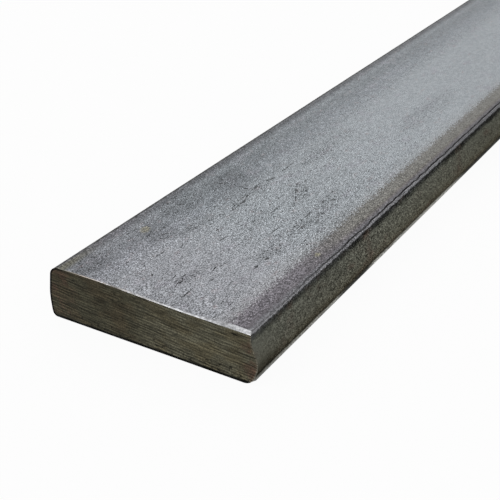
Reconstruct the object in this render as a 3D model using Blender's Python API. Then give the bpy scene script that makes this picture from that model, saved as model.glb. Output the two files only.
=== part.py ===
"""Flat bar: one length of hot-rolled flat stock, 50 x 12 mm, sawn off square at both ends.

The bar lies flat with its length along X and its thickness along Z. The origin is at the centre of
the underside. A bar that comes hot out of the rolls has edges that bulge, so its section is drawn
corner by corner, each with its own radius, and is then extruded. The near end, at -X, has had its
top arris dressed by hand, which took more off at the right (-Y) than at the left (+Y).
"""
import math

import bmesh
import bpy
from mathutils import Matrix, Vector

# Driving dimensions, in metres
LENGTH = 0.500
WIDTH = 0.050
THICKNESS = 0.012

# Left edge: a full rounding at the top, a slight belly, a small rounding at the foot
LEFT_TOP_INSET = 0.0005
LEFT_TOP_RADIUS = 0.0023
LEFT_BELLY_HEIGHT = 0.002
LEFT_BELLY_RADIUS = 0.012
LEFT_FOOT_INSET = 0.00035
LEFT_FOOT_RADIUS = 0.0011

# Right edge: a shoulder that falls to a crisp ridge, an upright neck, then a fuller belly
SHOULDER_WIDTH = 0.005
SHOULDER_FALL = 0.0002
SHOULDER_RADIUS = 0.010
RIDGE_INSET = 0.00145
RIDGE_RADIUS = 0.0004
NECK_HEIGHT = 0.0028
NECK_RADIUS = 0.004
RIGHT_BELLY_HEIGHT = 0.002
RIGHT_BELLY_RADIUS = 0.005
RIGHT_FOOT_INSET = 0.00125
RIGHT_FOOT_RADIUS = 0.0004

# Sawn ends: every arris is broken by this much, and the near top one is dressed further
EDGE_BREAK = 0.0001
DRESSING_LEFT_DEPTH = 0.0002
DRESSING_RIGHT_DEPTH = 0.00115
DRESSING_RIGHT_SETBACK = 0.0005

# Fineness of the arcs
ARC_STEP = math.radians(6)
SMOOTH_BELOW = math.radians(25)

# Dull grey of rolled and pickled steel
STEEL_COLOUR = (0.30, 0.31, 0.33, 1.0)
STEEL_ROUGHNESS = 0.55
STEEL_METALLIC = 1.0


def clear_scene():
    """Remove every object that is already in the scene."""
    for thing in list(bpy.data.objects):
        bpy.data.objects.remove(thing, do_unlink=True)


def left_edge_corners():
    """Corners (y, z) and radii up the left edge, from the foot to the top face."""
    side = WIDTH / 2
    belly_z = (THICKNESS - LEFT_TOP_RADIUS) / 2
    return [
        (Vector((side - LEFT_FOOT_INSET, 0)), LEFT_FOOT_RADIUS),
        (Vector((side, belly_z - LEFT_BELLY_HEIGHT / 2)), LEFT_BELLY_RADIUS),
        (Vector((side, belly_z + LEFT_BELLY_HEIGHT / 2)), LEFT_BELLY_RADIUS),
        (Vector((side - LEFT_TOP_INSET, THICKNESS)), LEFT_TOP_RADIUS),
    ]


def right_edge_corners():
    """Corners (y, z) and radii down the right edge, from the shoulder to the foot."""
    side = -WIDTH / 2
    ridge_y = side + RIDGE_INSET
    neck_z = THICKNESS - NECK_HEIGHT
    belly_z = neck_z / 2
    return [
        (Vector((ridge_y + SHOULDER_WIDTH, THICKNESS)), SHOULDER_RADIUS),
        (Vector((ridge_y, THICKNESS - SHOULDER_FALL)), RIDGE_RADIUS),
        (Vector((ridge_y, neck_z)), NECK_RADIUS),
        (Vector((side, belly_z + RIGHT_BELLY_HEIGHT / 2)), RIGHT_BELLY_RADIUS),
        (Vector((side, belly_z - RIGHT_BELLY_HEIGHT / 2)), RIGHT_BELLY_RADIUS),
        (Vector((side + RIGHT_FOOT_INSET, 0)), RIGHT_FOOT_RADIUS),
    ]


def fillet(before, corner, after, radius):
    """Points of the arc that rounds a corner and is tangent to both of its sides.

    The arc uses no more than half of either side, so that neighbouring arcs never cross.
    """
    back = before - corner
    ahead = after - corner
    turn = math.pi - back.angle(ahead)
    reach = min(radius * math.tan(turn / 2), back.length / 2, ahead.length / 2)
    start = corner + back.normalized() * reach
    bisector = (back.normalized() + ahead.normalized()).normalized()
    centre = corner + bisector * reach / math.sin(turn / 2)
    clockwise = back.x * ahead.y - back.y * ahead.x > 0
    steps = max(1, math.ceil(turn / ARC_STEP))
    points = []
    for step in range(steps + 1):
        angle = turn * step / steps * (-1 if clockwise else 1)
        points.append(centre + Matrix.Rotation(angle, 2) @ (start - centre))
    return points


def section_outline():
    """Outline of the rolled section as points (y, z), going once round it."""
    corners = left_edge_corners() + right_edge_corners()
    outline = []
    for index, (corner, radius) in enumerate(corners):
        before = corners[index - 1][0]
        after = corners[(index + 1) % len(corners)][0]
        outline += fillet(before, corner, after, radius)
    return outline


def roll_bar(mesh):
    """Extrude the section over the full length."""
    ring = [mesh.verts.new((-LENGTH / 2, point.x, point.y)) for point in section_outline()]
    near_end = mesh.faces.new(ring)
    grown = bmesh.ops.extrude_face_region(mesh, geom=[near_end], use_keep_orig=True)
    moved = [item for item in grown["geom"] if isinstance(item, bmesh.types.BMVert)]
    bmesh.ops.translate(mesh, verts=moved, vec=(LENGTH, 0, 0))


def break_end_arrises(mesh):
    """Take the sharpness off both sawn ends with one narrow chamfer all round."""
    rims = [edge for edge in mesh.edges if edge.verts[0].co.x == edge.verts[1].co.x]
    bmesh.ops.bevel(mesh, geom=rims, offset=EDGE_BREAK, segments=1, affect="EDGES", clamp_overlap=True)


def dress_near_arris(mesh):
    """Plane off the near top arris along a slanting cut, shallow at the left and deep at the right."""
    end_x = -LENGTH / 2
    right_y = -WIDTH / 2 + RIDGE_INSET
    left_y = WIDTH / 2 - LEFT_TOP_RADIUS
    left_low = Vector((end_x, left_y, THICKNESS - DRESSING_LEFT_DEPTH))
    right_low = Vector((end_x, right_y, THICKNESS - DRESSING_RIGHT_DEPTH))
    right_back = Vector((end_x + DRESSING_RIGHT_SETBACK, right_y, THICKNESS))
    outward = (left_low - right_low).cross(right_back - right_low).normalized()
    if outward.z < 0:
        outward.negate()
    everything = mesh.verts[:] + mesh.edges[:] + mesh.faces[:]
    bmesh.ops.bisect_plane(mesh, geom=everything, plane_co=right_low, plane_no=outward, clear_outer=True)
    rim = [edge for edge in mesh.edges if edge.is_boundary]
    bmesh.ops.holes_fill(mesh, edges=rim, sides=0)


def steel_material():
    """Dull grey steel."""
    material = bpy.data.materials.new("rolled_steel")
    material.use_nodes = True
    shader = material.node_tree.nodes["Principled BSDF"]
    shader.inputs["Base Color"].default_value = STEEL_COLOUR
    shader.inputs["Roughness"].default_value = STEEL_ROUGHNESS
    shader.inputs["Metallic"].default_value = STEEL_METALLIC
    return material


def make_flat_bar():
    """The whole bar as one closed solid."""
    mesh = bmesh.new()
    roll_bar(mesh)
    break_end_arrises(mesh)
    dress_near_arris(mesh)
    bmesh.ops.recalc_face_normals(mesh, faces=mesh.faces)
    data = bpy.data.meshes.new("flat_bar")
    mesh.to_mesh(data)
    mesh.free()
    data.shade_smooth()
    data.set_sharp_from_angle(angle=SMOOTH_BELOW)
    data.materials.append(steel_material())
    bar = bpy.data.objects.new("flat_bar", data)
    bpy.context.scene.collection.objects.link(bar)
    return bar


clear_scene()
make_flat_bar()
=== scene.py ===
# %% [markdown]
# A length of hot-rolled stainless flat bar, 50 x 12 mm, lying on a pale floor.
#
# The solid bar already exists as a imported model. It is loaded first and never changed, so that its
# sizes stay the true ones. This file makes the visible surface: the dull pickled skin, the edges
# that bulged between the rolls, and the ends that a band saw cut.

# %% Load the frame
import itertools
import math

import bpy
import numpy as np
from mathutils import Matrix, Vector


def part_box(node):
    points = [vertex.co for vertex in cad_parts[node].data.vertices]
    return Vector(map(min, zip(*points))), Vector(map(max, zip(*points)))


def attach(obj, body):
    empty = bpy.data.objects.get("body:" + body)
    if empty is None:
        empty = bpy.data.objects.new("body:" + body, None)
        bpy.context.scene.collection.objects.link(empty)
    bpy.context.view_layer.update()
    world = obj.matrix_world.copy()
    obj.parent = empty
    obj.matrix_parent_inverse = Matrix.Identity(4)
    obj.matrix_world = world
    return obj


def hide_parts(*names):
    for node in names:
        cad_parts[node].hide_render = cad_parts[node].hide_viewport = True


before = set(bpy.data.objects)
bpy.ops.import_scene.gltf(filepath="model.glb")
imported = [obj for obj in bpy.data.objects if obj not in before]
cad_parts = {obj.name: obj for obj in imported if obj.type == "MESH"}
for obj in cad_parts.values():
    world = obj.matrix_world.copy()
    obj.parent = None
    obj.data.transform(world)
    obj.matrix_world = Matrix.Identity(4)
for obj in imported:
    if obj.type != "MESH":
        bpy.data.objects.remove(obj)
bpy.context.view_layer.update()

# %% [markdown]
# Sizes first. Everything that has a shape is worked out in millimetres, because that is how a bar
# is sold and measured, and is turned into metres only when it becomes a mesh. Length, width and
# thickness are read from the solid, so the surface can't drift away from it.

# %% Sizes of the bar
MM = 0.001
LENGTH, WIDTH, THICKNESS = np.subtract(*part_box("flat_bar")[::-1]) / MM
NEAR_END = -LENGTH / 2
FAR_END = LENGTH / 2
print("length, width, thickness, mm:", round(LENGTH, 2), round(WIDTH, 2), round(THICKNESS, 2))

# %% [markdown]
# The section. Hot steel squeezed between two flat rolls has nowhere to go but sideways, so the
# long edges of a rolled flat bulge. Here the left edge has a full rounding at its top. The right
# edge has a shoulder that falls a little towards a crisp ridge, then an upright neck, then a fuller
# belly. Such an outline could be drawn as one freehand curve, but a list of corners with a radius
# each says more and is easy to change, so each corner is replaced by an arc.

# %% Corners of the section: (across, up, radius) in mm, once round from the left foot
LEFT_SIDE = WIDTH / 2
RIGHT_SIDE = -WIDTH / 2
RIDGE = RIGHT_SIDE + 1.45
SHOULDER_WIDTH = 5.0
SHOULDER_FALL = 0.2
NECK_FOOT = THICKNESS - 2.8
LEFT_BELLY = (THICKNESS - 2.3) / 2
RIGHT_BELLY = NECK_FOOT / 2
BELLY_HALF = 1.0
CORNERS = np.array([
    (LEFT_SIDE - 0.35, 0, 1.1),
    (LEFT_SIDE, LEFT_BELLY - BELLY_HALF, 12.0),
    (LEFT_SIDE, LEFT_BELLY + BELLY_HALF, 12.0),
    (LEFT_SIDE - 0.80, THICKNESS, 2.3),
    (RIDGE + SHOULDER_WIDTH, THICKNESS, 10.0),
    (RIDGE, THICKNESS - SHOULDER_FALL, 0.4),
    (RIDGE, NECK_FOOT, 4.0),
    (RIGHT_SIDE, RIGHT_BELLY + BELLY_HALF, 5.0),
    (RIGHT_SIDE, RIGHT_BELLY - BELLY_HALF, 5.0),
    (RIGHT_SIDE + 1.43, 0, 0.4),
])
OUTLINE_POINTS = 12001
print("corners of the section:", len(CORNERS))


# %% Round the corners
def arc_at(before, corner, after, radius, points):
    """Points of the arc that rounds a corner.

    The arc touches both sides at the same reach from the corner, radius x tan(turn / 2), but never
    further than half a side. Its centre lies on the bisector at reach / sin(turn / 2), and the
    points go round the centre by equal parts of the turn.
    """
    back, ahead = before - corner, after - corner
    back_length, ahead_length = np.hypot(*back), np.hypot(*ahead)
    back, ahead = back / back_length, ahead / ahead_length
    turn = math.pi - math.acos(back @ ahead)
    reach = min(radius * math.tan(turn / 2), back_length / 2, ahead_length / 2)
    bisector = (back + ahead) / np.hypot(*(back + ahead))
    centre = corner + bisector * reach / math.sin(turn / 2)
    side = -math.copysign(1, back[0] * ahead[1] - back[1] * ahead[0])
    angle = side * np.linspace(0, turn, points)
    spoke = corner + back * reach - centre
    turned_y = spoke[0] * np.cos(angle) - spoke[1] * np.sin(angle)
    turned_z = spoke[0] * np.sin(angle) + spoke[1] * np.cos(angle)
    return centre + np.column_stack([turned_y, turned_z])


# %% The whole outline
def distances(line):
    """Distance of each point along its polyline, from the first point: the sum of the steps."""
    return np.concatenate([[0], np.cumsum(np.hypot(*np.diff(line, axis=0).T))])


def resampled(line, places):
    """Points on a polyline at the given distances along it."""
    return np.column_stack([np.interp(places, distances(line), line[:, axis]) for axis in (0, 1)])


def rounded_outline(corners, arc_points=60):
    """The closed outline (across, up): every corner's arc, in order, cut into equal steps."""
    at, radius = corners[:, :2], corners[:, 2]
    after = np.roll(at, -1, axis=0)
    arcs = [
        arc_at(at[i - 1], at[i], after[i], radius[i], arc_points)
        for i in range(len(corners))
    ]
    line = np.vstack([*arcs, arcs[0][:1]])
    return resampled(line, np.linspace(0, distances(line)[-1], OUTLINE_POINTS))


outline = rounded_outline(CORNERS)
girth = distances(outline)[-1]
print("girth of the section, mm:", round(girth, 2))

# %% [markdown]
# The arrises of the sawn ends. A saw leaves a sharp burr, and whoever stacks the bar knocks it off.
# Round the ends the arris is only broken by 0.1 mm or so, and least at the belly. The near cut
# isn't quite square, its right foot is knocked round, and somebody has run a grinder along the top
# arris, leaning on it harder towards the right. The steel there droops to a narrow ground flat that
# shines, and the flat flares over the last third before the ridge.

# %% The near cut and its dressed arris
BREAK = 0.10
TOP_BREAK, BELLY_BREAK, LEFT_FOOT_BREAK = 0.01, 0.02, 0.17
BELLY_FROM, BELLY_TO, TOP_FROM = 1.5, 8.0, 10.0
FOOT_LEVEL = 0.02
SKEW = 0.30
DROOP_FROM, DROOP_TO = LEFT_SIDE - 10.0, LEFT_SIDE - 35.6
DROOP_DEPTH = 0.74
LEAN_FROM, LEAN_TO = LEFT_SIDE - 32.6, RIDGE
LEAN_DEPTH = 0.17
FLAT_REACH, FLARED_REACH = 0.26, 0.50
FLAT_RISE, FLARED_RISE = 0.22, 1.13
FLARE_FROM, FLARE_TO = RIDGE + 14.0, RIDGE + 2.5


def smooth_step(value, start, full):
    """From 0 at the start to 1 at the full level along the smooth step 3 t^2 - 2 t^3."""
    t = np.clip((value - start) / (full - start), 0, 1)
    return t * t * (3 - 2 * t)


def dressed_height(across):
    """Height where the ground flat meets the end face: level, an S-shaped fall, a slow fall."""
    fall = DROOP_DEPTH * smooth_step(across, DROOP_FROM, DROOP_TO)
    fall += LEAN_DEPTH * np.clip((across - LEAN_FROM) / (LEAN_TO - LEAN_FROM), 0, 1)
    return THICKNESS - TOP_BREAK - fall


def cut_setback(across):
    """How far the near cut lies behind its right edge: nothing there, the full skew at the left."""
    return SKEW * (across - RIGHT_SIDE) / WIDTH


def near_break(line):
    """Width of the broken arris round the near end: straight lines between a few places."""
    across, up = line.T
    foot = np.interp(across, [RIGHT_SIDE, LEFT_SIDE], [BELLY_BREAK, LEFT_FOOT_BREAK])
    left_places = [0, BELLY_FROM, BELLY_TO, TOP_FROM]
    left = np.interp(up, left_places, [LEFT_FOOT_BREAK, BELLY_BREAK, BELLY_BREAK, TOP_BREAK])
    right = np.interp(up, [0, BELLY_FROM], [BELLY_BREAK, BREAK])
    return np.where(up < FOOT_LEVEL, foot, np.where(across > 0, left, right))


def even_break(line):
    """Width of the broken arris round the far end: the same everywhere."""
    return np.full(len(line), BREAK)


def flare(across):
    """0 along most of the flat and 1 beside the ridge."""
    return smooth_step(across, FLARE_FROM, FLARE_TO)


def dressed_reach(across):
    """How far the ground flat reaches along the bar."""
    return FLAT_REACH + (FLARED_REACH - FLAT_REACH) * flare(across)


def dressed_droop(across):
    """How far the skin has drooped where the ground flat begins."""
    rise = FLAT_RISE + (FLARED_RISE - FLAT_RISE) * flare(across)
    return np.maximum(THICKNESS - dressed_height(across) - rise, 0)


print("dressed arris falls, mm, at the ridge:", round(THICKNESS - dressed_height(RIDGE), 2))

# %% [markdown]
# The bar is one closed skin on a grid. One direction of the grid runs once round the section, in
# four runs that meet at its corners, and the other runs from end to end. Each sawn end is a second
# grid, and its rim is the first row of the skin. So no seam stays open. The rows stand closer
# together near the near end, where the photographed detail is, and the columns near the corners.

# %% Rings round the section
TOP_STEPS = 104
SIDE_STEPS = 84
RING = 2 * (TOP_STEPS + SIDE_STEPS)


def crowded(steps, crowding):
    """Fractions 0 to 1 that lie closer together near both ends: t - c sin(2 pi t) / (2 pi)."""
    t = np.linspace(0, 1, steps + 1)
    return t - crowding * np.sin(2 * math.pi * t) / (2 * math.pi)


TOP_PLACES = crowded(TOP_STEPS, 0.8)
SIDE_PLACES = crowded(SIDE_STEPS, 0.3)
RUNS = [TOP_PLACES, SIDE_PLACES, TOP_PLACES, SIDE_PLACES]


def place_at_height(line, height, side):
    """Distance along the outline where it passes a height, on the left (1) or the right (-1)."""
    miss = np.where(line[:, 0] * side < 0, np.inf, np.abs(line[:, 1] - height))
    return distances(line)[np.argmin(miss)]


def run_between(line, start, end, places):
    """One run of a ring: the closed outline from one distance on to the next."""
    if end < start:
        end += distances(line)[-1]
    return resampled(np.vstack([line, line[1:]]), start + (end - start) * places)


def ring_of(line, top_left, top_right, foot=0.4):
    """Ring of points along an outline: right foot, left foot, top left, top right, down again."""
    heights = [(foot, -1), (foot, 1), (top_left, 1), (top_right, -1)]
    corners = [place_at_height(line, height, side) for height, side in heights]
    return np.vstack([
        run_between(line, corners[i - 4], corners[i - 3], RUNS[i])[:-1]
        for i in range(4)
    ])


def inward_normals(line):
    """Unit normals of a closed outline that goes round anticlockwise, turned towards its inside."""
    ahead = np.roll(line[:-1], -1, axis=0) - np.roll(line[:-1], 1, axis=0)
    ahead /= np.hypot(*ahead.T)[:, None]
    normals = np.column_stack([-ahead[:, 1], ahead[:, 0]])
    return np.vstack([normals, normals[:1]])


def broken_rim(corners, width, top_left, top_right):
    """Rim of a sawn end: the section, moved in by the width of the broken arris."""
    line = rounded_outline(corners)
    return ring_of(line + inward_normals(line) * width(line)[:, None], top_left, top_right)


# %% The full ring and the rims of both ends
KNOCKED_FOOT, KNOCK_SETBACK, KNOCK_REACH = 2.6, 1.6, 1.2
RIDGE_BAND = 0.15
knocked_corners = CORNERS.copy()
knocked_corners[-1, 2] = KNOCKED_FOOT
ridge_middle = THICKNESS - SHOULDER_FALL - RIDGE_BAND
full_ring = ring_of(outline, THICKNESS - BREAK, ridge_middle)
far_rim = broken_rim(CORNERS, even_break, THICKNESS - 2 * BREAK, ridge_middle - BREAK)
near_rim = broken_rim(knocked_corners, near_break, THICKNESS - BREAK, dressed_height(RIDGE))
LEFT_RUN, TOP_RUN, RIGHT_RUN = TOP_STEPS, TOP_STEPS + SIDE_STEPS, 2 * TOP_STEPS + SIDE_STEPS
edge_across = np.interp(TOP_PLACES, [0, 1], near_rim[[TOP_RUN, RIGHT_RUN], 0])
near_rim[TOP_RUN:RIGHT_RUN + 1, 0] = edge_across
near_rim[TOP_RUN:RIGHT_RUN + 1, 1] = dressed_height(edge_across)
print("points round the section:", len(full_ring))

# %% Distance round the section from the ridge: positive over the top, negative down the right
ring_distance = distances(np.vstack([full_ring, full_ring[:1]]))
around = ring_distance[RIGHT_RUN] - ring_distance
print("round the section, mm, from", round(around[0], 1), "to", round(around[-1], 1))

# %% Rows from end to end
ARRIS_STEPS = 6
ROW_STEPS = 206
FINE_STEP, COARSE_STEP = 0.25, 3.2
ROW_GROWTH = 0.8
SETBACK_FADES = 12.0
DROOP_FADES = 8.0


def row_places():
    """Distances of the rows from the near end: steps of fine x (coarse / fine) ^ (t ^ growth)."""
    growth = np.linspace(0, 1, ROW_STEPS) ** ROW_GROWTH
    steps = FINE_STEP * (COARSE_STEP / FINE_STEP) ** growth
    places = np.concatenate([[0], np.cumsum(steps)])
    return places / places[-1] * (LENGTH - BREAK)


flat_foot = dressed_height(RIDGE)
on_top = np.clip((full_ring[:, 1] - flat_foot) / (ridge_middle - flat_foot), 0, 1)
setback = BREAK + (dressed_reach(full_ring[:, 0]) - BREAK) * on_top
to_foot = np.hypot(*(full_ring - CORNERS[-1, :2]).T)
setback += KNOCK_SETBACK * np.exp(-((to_foot / KNOCK_REACH) ** 2))
rows = row_places()
fade = np.clip(1 - rows / SETBACK_FADES, 0, 1)[:, None]
along = NEAR_END + rows[:, None] + (setback + cut_setback(full_ring[:, 0]))[None, :] * fade
print("rows:", len(rows), "spacing, mm:", round(rows[1], 2), "to", round(rows[-1] - rows[-2], 2))

# %% [markdown]
# Relief. Rolls are never perfectly smooth and neither is hot steel, so the faces wander by a few
# hundredths of a millimetre. Smooth random values do that. They could come from a noise texture,
# but here they move real vertices, so they are computed with numpy.


# %% Smooth random values
def lattice_noise(points, cell, seed):
    """Smooth random values from -1 to 1.

    Random numbers sit on the corners of a lattice of boxes of the given size. A point takes a mix
    of its box's eight corners, weighted along each side by the smooth step 3 t^2 - 2 t^3.
    """
    place = points / np.array(cell)
    low = np.floor(place).astype(int)
    part = place - low
    part = part * part * (3 - 2 * part)
    low -= low.reshape(-1, 3).min(axis=0)
    corners = np.random.default_rng(seed).uniform(-1, 1, low.reshape(-1, 3).max(axis=0) + 2)
    total = np.zeros(points.shape[:-1])
    for corner in itertools.product((0, 1), repeat=3):
        weight = np.prod(np.where(corner, part, 1 - part), axis=-1)
        total += weight * corners[tuple(np.moveaxis(low + corner, -1, 0))]
    return total


def bump_at(distance, centre, width):
    """A bell of height 1: e to the minus ((distance - centre) / width) squared."""
    return np.exp(-(((distance - centre) / width) ** 2))


# %% [markdown]
# Beside the ridge the rolls left a narrow groove, and under it the neck is hollow. Both waver along
# the bar, and the groove deepens away from the near end. All relief goes inwards, so the bar keeps
# its size.

# %% Relief of the rolled skin: depths, places and widths in mm, cells with their seeds
ROLLING = [
    (0.020, (60, 14, 14), 11),
    (0.010, (14, 5, 5), 12),
    (0.006, (3, 1.6, 1.6), 13),
]
SWAY_CELL, SWAY_SEED = (18, 100, 100), 21
GROOVE_DEPTH, GROOVE_WIDTH, GROOVE_SWAY = 0.12, 0.24, 0.12
GROOVE_START, GROOVE_DRIFT = 0.22, 0.0026
GROOVE_AT_END, GROOVE_DEEPENS = 0.1, 50
NECK_DEPTH, NECK_PLACE, NECK_WIDTH, NECK_SWAY = 0.10, -1.1, 0.5, 0.2
SCAB_DEPTH, SCAB_PLACE, SCAB_SPREAD = 0.08, -6.5, 4.0
SCAB_CELL, SCAB_SEED = (3.5, 2.0, 2.0), 31
FLAT_FOOT = 0.8


def rolled_relief(points, distance):
    """Depth of the skin below its plain section, in mm.

    Three layers of smooth random values, long, middling and short, are added up and lifted to stay
    above zero. The groove and the hollow neck are bells across the section, times a slow wander.
    Shallow scabs roughen the right side. Towards the underside all of it fades, so the bar lies
    flat.
    """
    rolling = sum(depth * (1 + lattice_noise(points, cell, seed)) for depth, cell, seed in ROLLING)
    sway = lattice_noise(points, SWAY_CELL, SWAY_SEED)
    from_end = points[..., 0] - NEAR_END
    deepen = np.clip(GROOVE_AT_END + from_end / GROOVE_DEEPENS, 0, 1)
    groove_line = distance + GROOVE_SWAY * sway - GROOVE_DRIFT * from_end
    groove = bump_at(groove_line, GROOVE_START, GROOVE_WIDTH)
    neck = bump_at(distance + NECK_SWAY * sway, NECK_PLACE, NECK_WIDTH)
    on_side = bump_at(distance, SCAB_PLACE, SCAB_SPREAD)
    scabs = np.maximum(0, lattice_noise(points, SCAB_CELL, SCAB_SEED)) * on_side
    grooves = GROOVE_DEPTH * groove * deepen * (1 + 0.4 * sway) + NECK_DEPTH * neck
    return (rolling + grooves + SCAB_DEPTH * scabs) * np.clip(points[..., 2] / FLAT_FOOT, 0, 1)


# %% The skin
def skin_points():
    """Grid of the skin: the section at every row, moved in by the relief, with the arris strips."""
    ring_in = inward_normals(np.vstack([full_ring, full_ring[:1]]))[:-1]
    flat = np.zeros((len(rows), RING, 3))
    flat[..., 0] = along
    flat[..., 1:] = full_ring
    depth = rolled_relief(flat, around[:-1])
    flat[..., 1:] += depth[..., None] * ring_in
    beyond_flat = np.clip(1 - (flat[..., 0] - flat[:1, :, 0]) / DROOP_FADES, 0, 1)
    flat[..., 2] -= dressed_droop(full_ring[:, 0]) * on_top * beyond_flat ** 2
    near = arris_strip(near_rim, NEAR_END + cut_setback(near_rim[:, 0]), flat[0])
    far = arris_strip(far_rim, np.full(RING, FAR_END), flat[-1])[::-1]
    return np.concatenate([near[:-1], flat, far[1:]])


def arris_strip(rim, end, edge):
    """Rows that lead straight from the rim of an end face to the first row of the skin."""
    start = np.column_stack([end, rim])
    share = np.linspace(0, 1, ARRIS_STEPS + 1)[:, None, None]
    return start * (1 - share) + edge * share


skin = skin_points()
print("skin grid:", skin.shape)

# %% [markdown]
# The sawn ends. A band saw moves down through the bar while its teeth run across, and each pass of
# a proud tooth leaves a line. The lines are 0.66 mm apart, almost level, and weak where the blade
# entered at the top. The end face is a patch between four curved sides.


# %% A patch between four sides
def patch(rim):
    """Fills a rim with a grid.

    Every point is the mix of the points opposite it on the bottom and the top, plus the mix of
    those on the right and the left, minus the mix of the four corners, which would count twice.
    """
    closed = np.vstack([rim, rim[:1]])
    bottom, top = closed[:LEFT_RUN + 1], closed[TOP_RUN:RIGHT_RUN + 1][::-1]
    left, right = closed[LEFT_RUN:TOP_RUN + 1], closed[RIGHT_RUN:][::-1]
    a = TOP_PLACES[None, :, None]
    b = SIDE_PLACES[:, None, None]
    upright = (1 - b) * bottom[None] + b * top[None]
    level = (1 - a) * right[:, None] + a * left[:, None]
    below = (1 - b) * ((1 - a) * bottom[0] + a * bottom[-1])
    above = b * ((1 - a) * top[0] + a * top[-1])
    return upright + level - below - above


# %% Sawn end faces
SAW_PITCH, SAW_SLOPE, SAW_DEPTH = 0.66, -0.075, 0.06
SAW_BEND, BEND_CELL, STRENGTH_CELL = 0.22, (7, 1.6, 1), (11, 0.9, 1)
BLADE_ENTRY = 4.0
NEAR_SEED, FAR_SEED = 41, 51


def saw_lines(face, seed):
    """Depth of the saw lines, 0 to 1: a wave in height, bent a little, with some lines deeper.

    It is half of 1 - cos(2 pi height / pitch), to the power 1.5 to make the ridges wider than the
    cuts, times a slowly changing strength that falls to 0.15 where the blade entered.
    """
    across, up = face[..., 0], face[..., 1]
    place = np.stack([across, up, np.full_like(across, 0.5)], axis=-1)
    bend = SAW_BEND * lattice_noise(place, BEND_CELL, seed)
    wave = 0.5 - 0.5 * np.cos(2 * math.pi * (up + SAW_SLOPE * across + bend) / SAW_PITCH)
    strength = 0.6 + 0.4 * lattice_noise(place, STRENGTH_CELL, seed + 1)
    entered = np.clip((THICKNESS - up) / BLADE_ENTRY, 0.15, 1)
    return wave ** 1.5 * strength * entered


def end_points(rim, end, seed):
    """Grid of one end face: the filled rim, cut inwards by the saw lines but not at the rim."""
    face = patch(rim)
    depth = SAW_DEPTH * saw_lines(face, seed)
    depth[[0, -1]] = 0
    depth[:, [0, -1]] = 0
    if end == NEAR_END:
        return np.dstack([end + cut_setback(face[..., 0]) + depth, face])
    return np.dstack([end - depth, face])


near_face = end_points(near_rim, NEAR_END, NEAR_SEED)
far_face = end_points(far_rim, FAR_END, FAR_SEED)
print("end grid:", near_face.shape)

# %% [markdown]
# Now the grids become one mesh. Vertices on a rim belong to the skin and to the end face at once.
# The faces are four-sided and are listed by arrays of vertex numbers, with no loop over them.


# %% Join the grids
INNER_GRID = (SIDE_STEPS - 1, TOP_STEPS - 1)
INNER_COUNT = INNER_GRID[0] * INNER_GRID[1]


def grid_faces(numbers):
    """Four-sided faces of a grid of vertex numbers, each listed in the same turning direction."""
    corners = numbers[:-1, :-1], numbers[:-1, 1:], numbers[1:, 1:], numbers[1:, :-1]
    return np.stack(corners, axis=-1).reshape(-1, 4)


def end_numbers(first_new, rim_start):
    """Vertex numbers of an end grid: its rim is a row of the skin, the rest are new vertices."""
    rim = rim_start + np.append(np.arange(RING), 0)
    numbers = np.zeros((SIDE_STEPS + 1, TOP_STEPS + 1), dtype=int)
    numbers[0] = rim[:LEFT_RUN + 1]
    numbers[:, -1] = rim[LEFT_RUN:TOP_RUN + 1]
    numbers[-1] = rim[TOP_RUN:RIGHT_RUN + 1][::-1]
    numbers[:, 0] = rim[RIGHT_RUN:][::-1]
    numbers[1:-1, 1:-1] = first_new + np.arange(INNER_COUNT).reshape(INNER_GRID)
    return numbers


skin_numbers = np.arange(skin.shape[0] * RING).reshape(skin.shape[0], RING)
wrapped = np.hstack([skin_numbers, skin_numbers[:, :1]])
near_numbers = end_numbers(skin_numbers.size, 0)
far_numbers = end_numbers(skin_numbers.size + INNER_COUNT, skin_numbers[-1, 0])
inner_near, inner_far = (face[1:-1, 1:-1].reshape(-1, 3) for face in (near_face, far_face))
vertices = np.vstack([skin.reshape(-1, 3), inner_near, inner_far])
near_faces = grid_faces(near_numbers)[:, ::-1]
far_faces = grid_faces(far_numbers)
faces = np.vstack([grid_faces(wrapped), near_faces, far_faces])
print("vertices:", len(vertices), "triangles:", 2 * len(faces))

# %% Make the mesh
SHARP_ABOVE = math.radians(26)


def put_in_scene(name, data):
    """A new object with this data, at the origin of the scene."""
    thing = bpy.data.objects.new(name, data)
    bpy.context.scene.collection.objects.link(thing)
    return thing


mesh = bpy.data.meshes.new("rolled_bar")
mesh.from_pydata(vertices * MM, [], faces)
mesh.update()
bar = put_in_scene("rolled_bar", mesh)
mesh.shade_smooth()
mesh.set_sharp_from_angle(angle=SHARP_ABOVE)
first, second, third = np.moveaxis(vertices[faces][:, :3], 1, 0)
volume = np.einsum("ij,ij->i", first, np.cross(second, third)).sum() / 3
print("volume, cubic mm (positive when the faces point outwards):", round(volume))

# %% Unrolled map of the skin, in metres: along the bar, and round the section from the ridge
closed = skin[:, np.append(np.arange(RING), 0), 0]
unrolled = np.dstack([closed, np.broadcast_to(around, closed.shape)])


def corner_values(grid, flipped=False):
    """Values of a grid, given per face corner in the order that grid_faces lists the corners."""
    corners = grid_faces(np.arange(grid.shape[0] * grid.shape[1]).reshape(grid.shape[:2]))
    return grid.reshape(-1, grid.shape[2])[corners[:, ::-1] if flipped else corners]


unrolled_map = mesh.uv_layers.new(name="unrolled")
uv = np.vstack([
    corner_values(unrolled),
    corner_values(near_face[..., 1:], flipped=True),
    corner_values(far_face[..., 1:]),
])
unrolled_map.data.foreach_set("uv", (uv * MM).ravel())
print("unrolled map corners:", len(unrolled_map.data))

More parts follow.
